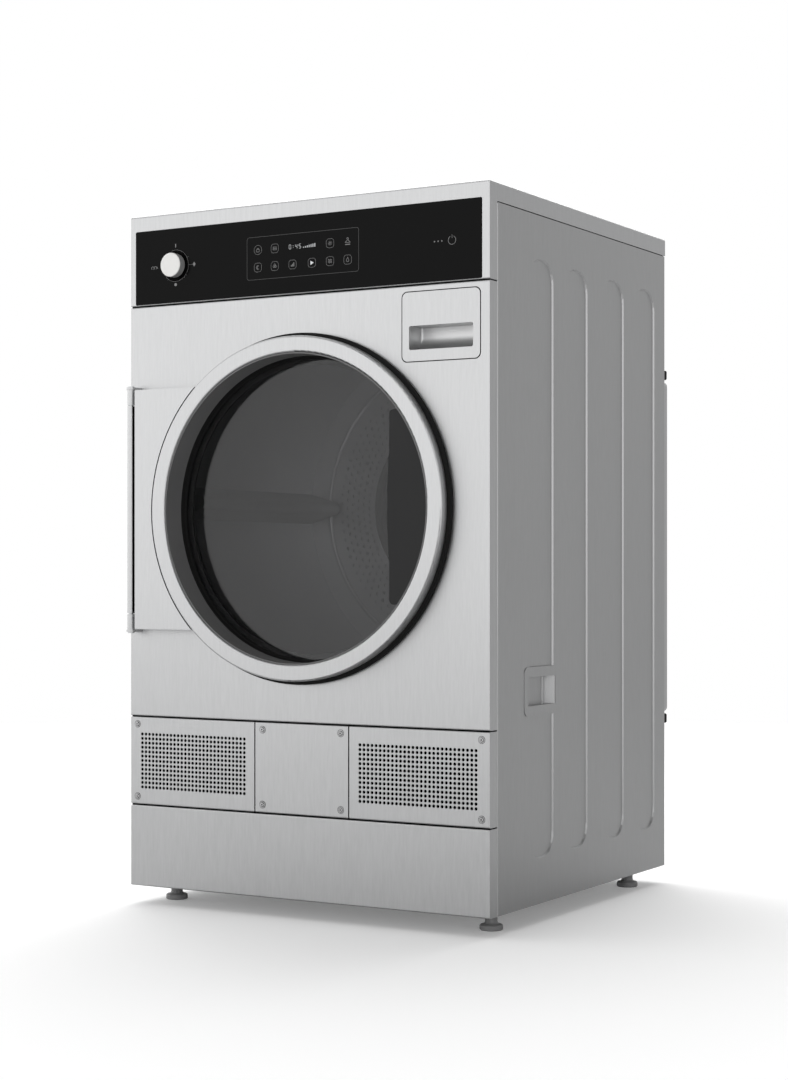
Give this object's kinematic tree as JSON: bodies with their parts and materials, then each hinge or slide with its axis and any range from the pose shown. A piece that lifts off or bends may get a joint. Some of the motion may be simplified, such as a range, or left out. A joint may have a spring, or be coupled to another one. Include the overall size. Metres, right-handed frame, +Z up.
{
  "type": "tumble dryer",
  "caption": "Free-standing tumble dryer in brushed steel with a round glazed door, a black glass control strip with a dial, a water drawer, low air grilles and levelling feet.",
  "frame": {"origin": "centre of the machine's footprint box on the floor, between the soles of the feet", "axes": "+Z up, -Y towards the front with the door, +X towards the machine's right seen from the front"},
  "size_m": [0.688, 0.727, 1.161],
  "materials": {
    "brushed_steel": "vertical brushed grain, satin",
    "side_steel": "fine vertical grain, satin",
    "galvanised_steel": "plain galvanised sheet",
    "black_glass": "gloss back-printed black",
    "tinted_glass": "smooth smoke tint",
    "black_rubber": "matt",
    "dark_plastic": "fine texture",
    "white_plastic": "smooth satin",
    "tank_plastic": "milky",
    "circuit_board": "solder mask",
    "felt": "dense felt",
    "coil_aluminium": "bare fins",
    "cast_aluminium": "die cast",
    "bearing_steel": "ground",
    "motor_paint": "satin paint"
  },
  "bodies": {
    "cabinet": {"base_pan": "galvanised_steel", "foot_pads": "dark_plastic", "foot_studs": "galvanised_steel", "top_cover": "brushed_steel", "front_panel": "brushed_steel", "side_panel_left": "side_steel", "side_panel_right": "side_steel", "side_grips": "side_steel", "rear_panel": "galvanised_steel", "rear_cover": "brushed_steel", "rear_buffers": "black_rubber", "plinth_panel": "brushed_steel", "grilles": "brushed_steel", "service_cover": "brushed_steel", "panel_screws": "galvanised_steel", "control_glass": "black_glass", "control_board": "circuit_board", "dial_collar": "dark_plastic", "terminal_box": "dark_plastic", "drain_spigot": "dark_plastic", "hinge_brackets": "brushed_steel", "hinge_pin": "galvanised_steel", "door_magnets": "galvanised_steel", "door_throat": "galvanised_steel", "front_bulkhead": "galvanised_steel", "front_seal": "felt", "rear_bulkhead": "galvanised_steel", "bearing_housing": "cast_aluminium", "shaft_bearings": "bearing_steel", "roller_axles": "galvanised_steel", "motor_body": "motor_paint", "drive_belt": "black_rubber", "fan_housing": "dark_plastic", "heat_exchanger": "coil_aluminium", "coil_duct": "galvanised_steel", "compressor": "motor_paint", "drawer_sleeve": "galvanised_steel", "filter_housing": "dark_plastic"},
    "door": {"door_ring": "brushed_steel", "hinge_strap": "brushed_steel", "hinge_leaf": "brushed_steel", "door_back_plate": "galvanised_steel", "door_liner": "dark_plastic", "door_seal": "black_rubber", "door_pane": "tinted_glass", "door_gasket": "black_rubber", "door_grip": "dark_plastic"},
    "drum": {"drum_shell": "brushed_steel", "drum_back": "brushed_steel", "drum_lifters": "brushed_steel", "drum_hub": "dark_plastic", "drum_shaft": "galvanised_steel"},
    "roller_left": {"roller_left": "dark_plastic"},
    "roller_right": {"roller_right": "dark_plastic"},
    "motor_rotor": {"motor_rotor": "galvanised_steel"},
    "dial": {"dial_knob": "white_plastic"},
    "drawer": {"drawer_front": "brushed_steel", "drawer_cup": "brushed_steel", "water_tank": "tank_plastic"},
    "lint_filter": {"lint_filter": "dark_plastic"}
  },
  "joints": [
    {"name": "door_hinge", "type": "hinge", "parent": "cabinet", "child": "door", "pos_m": [-0.328, -0.355, 0.665], "axis": [0, 0, -1], "range_deg": [0, 178]},
    {"name": "drum_spin", "type": "hinge", "parent": "cabinet", "child": "drum", "pos_m": [0, -0.0355, 0.679], "axis": [0, 1, 0], "continuous": true},
    {"name": "roller_left_spin", "type": "hinge", "parent": "cabinet", "child": "roller_left", "pos_m": [-0.15892, -0.2375, 0.38012], "axis": [0, 1, 0], "continuous": true},
    {"name": "roller_right_spin", "type": "hinge", "parent": "cabinet", "child": "roller_right", "pos_m": [0.15892, -0.2375, 0.38012], "axis": [0, 1, 0], "continuous": true},
    {"name": "motor_spin", "type": "hinge", "parent": "cabinet", "child": "motor_rotor", "pos_m": [0.205, 0.0645, 0.231], "axis": [0, 1, 0], "continuous": true},
    {"name": "dial_turn", "type": "hinge", "parent": "cabinet", "child": "dial", "pos_m": [-0.2495, -0.3355, 1.072], "axis": [0, 1, 0], "continuous": true},
    {"name": "drawer_slide", "type": "slide", "parent": "cabinet", "child": "drawer", "axis": [0, -1, 0], "range_m": [0, 0.44]},
    {"name": "filter_lift", "type": "slide", "parent": "cabinet", "child": "lint_filter", "axis": [0, 0, 1], "range_m": [0, 0.2]}
  ],
  "couplings": [
    {"joint": "roller_left_spin", "follows": "drum_spin", "ratio": -12.528},
    {"joint": "roller_right_spin", "follows": "drum_spin", "ratio": -12.528},
    {"joint": "motor_spin", "follows": "drum_spin", "ratio": 14.236}
  ]
}
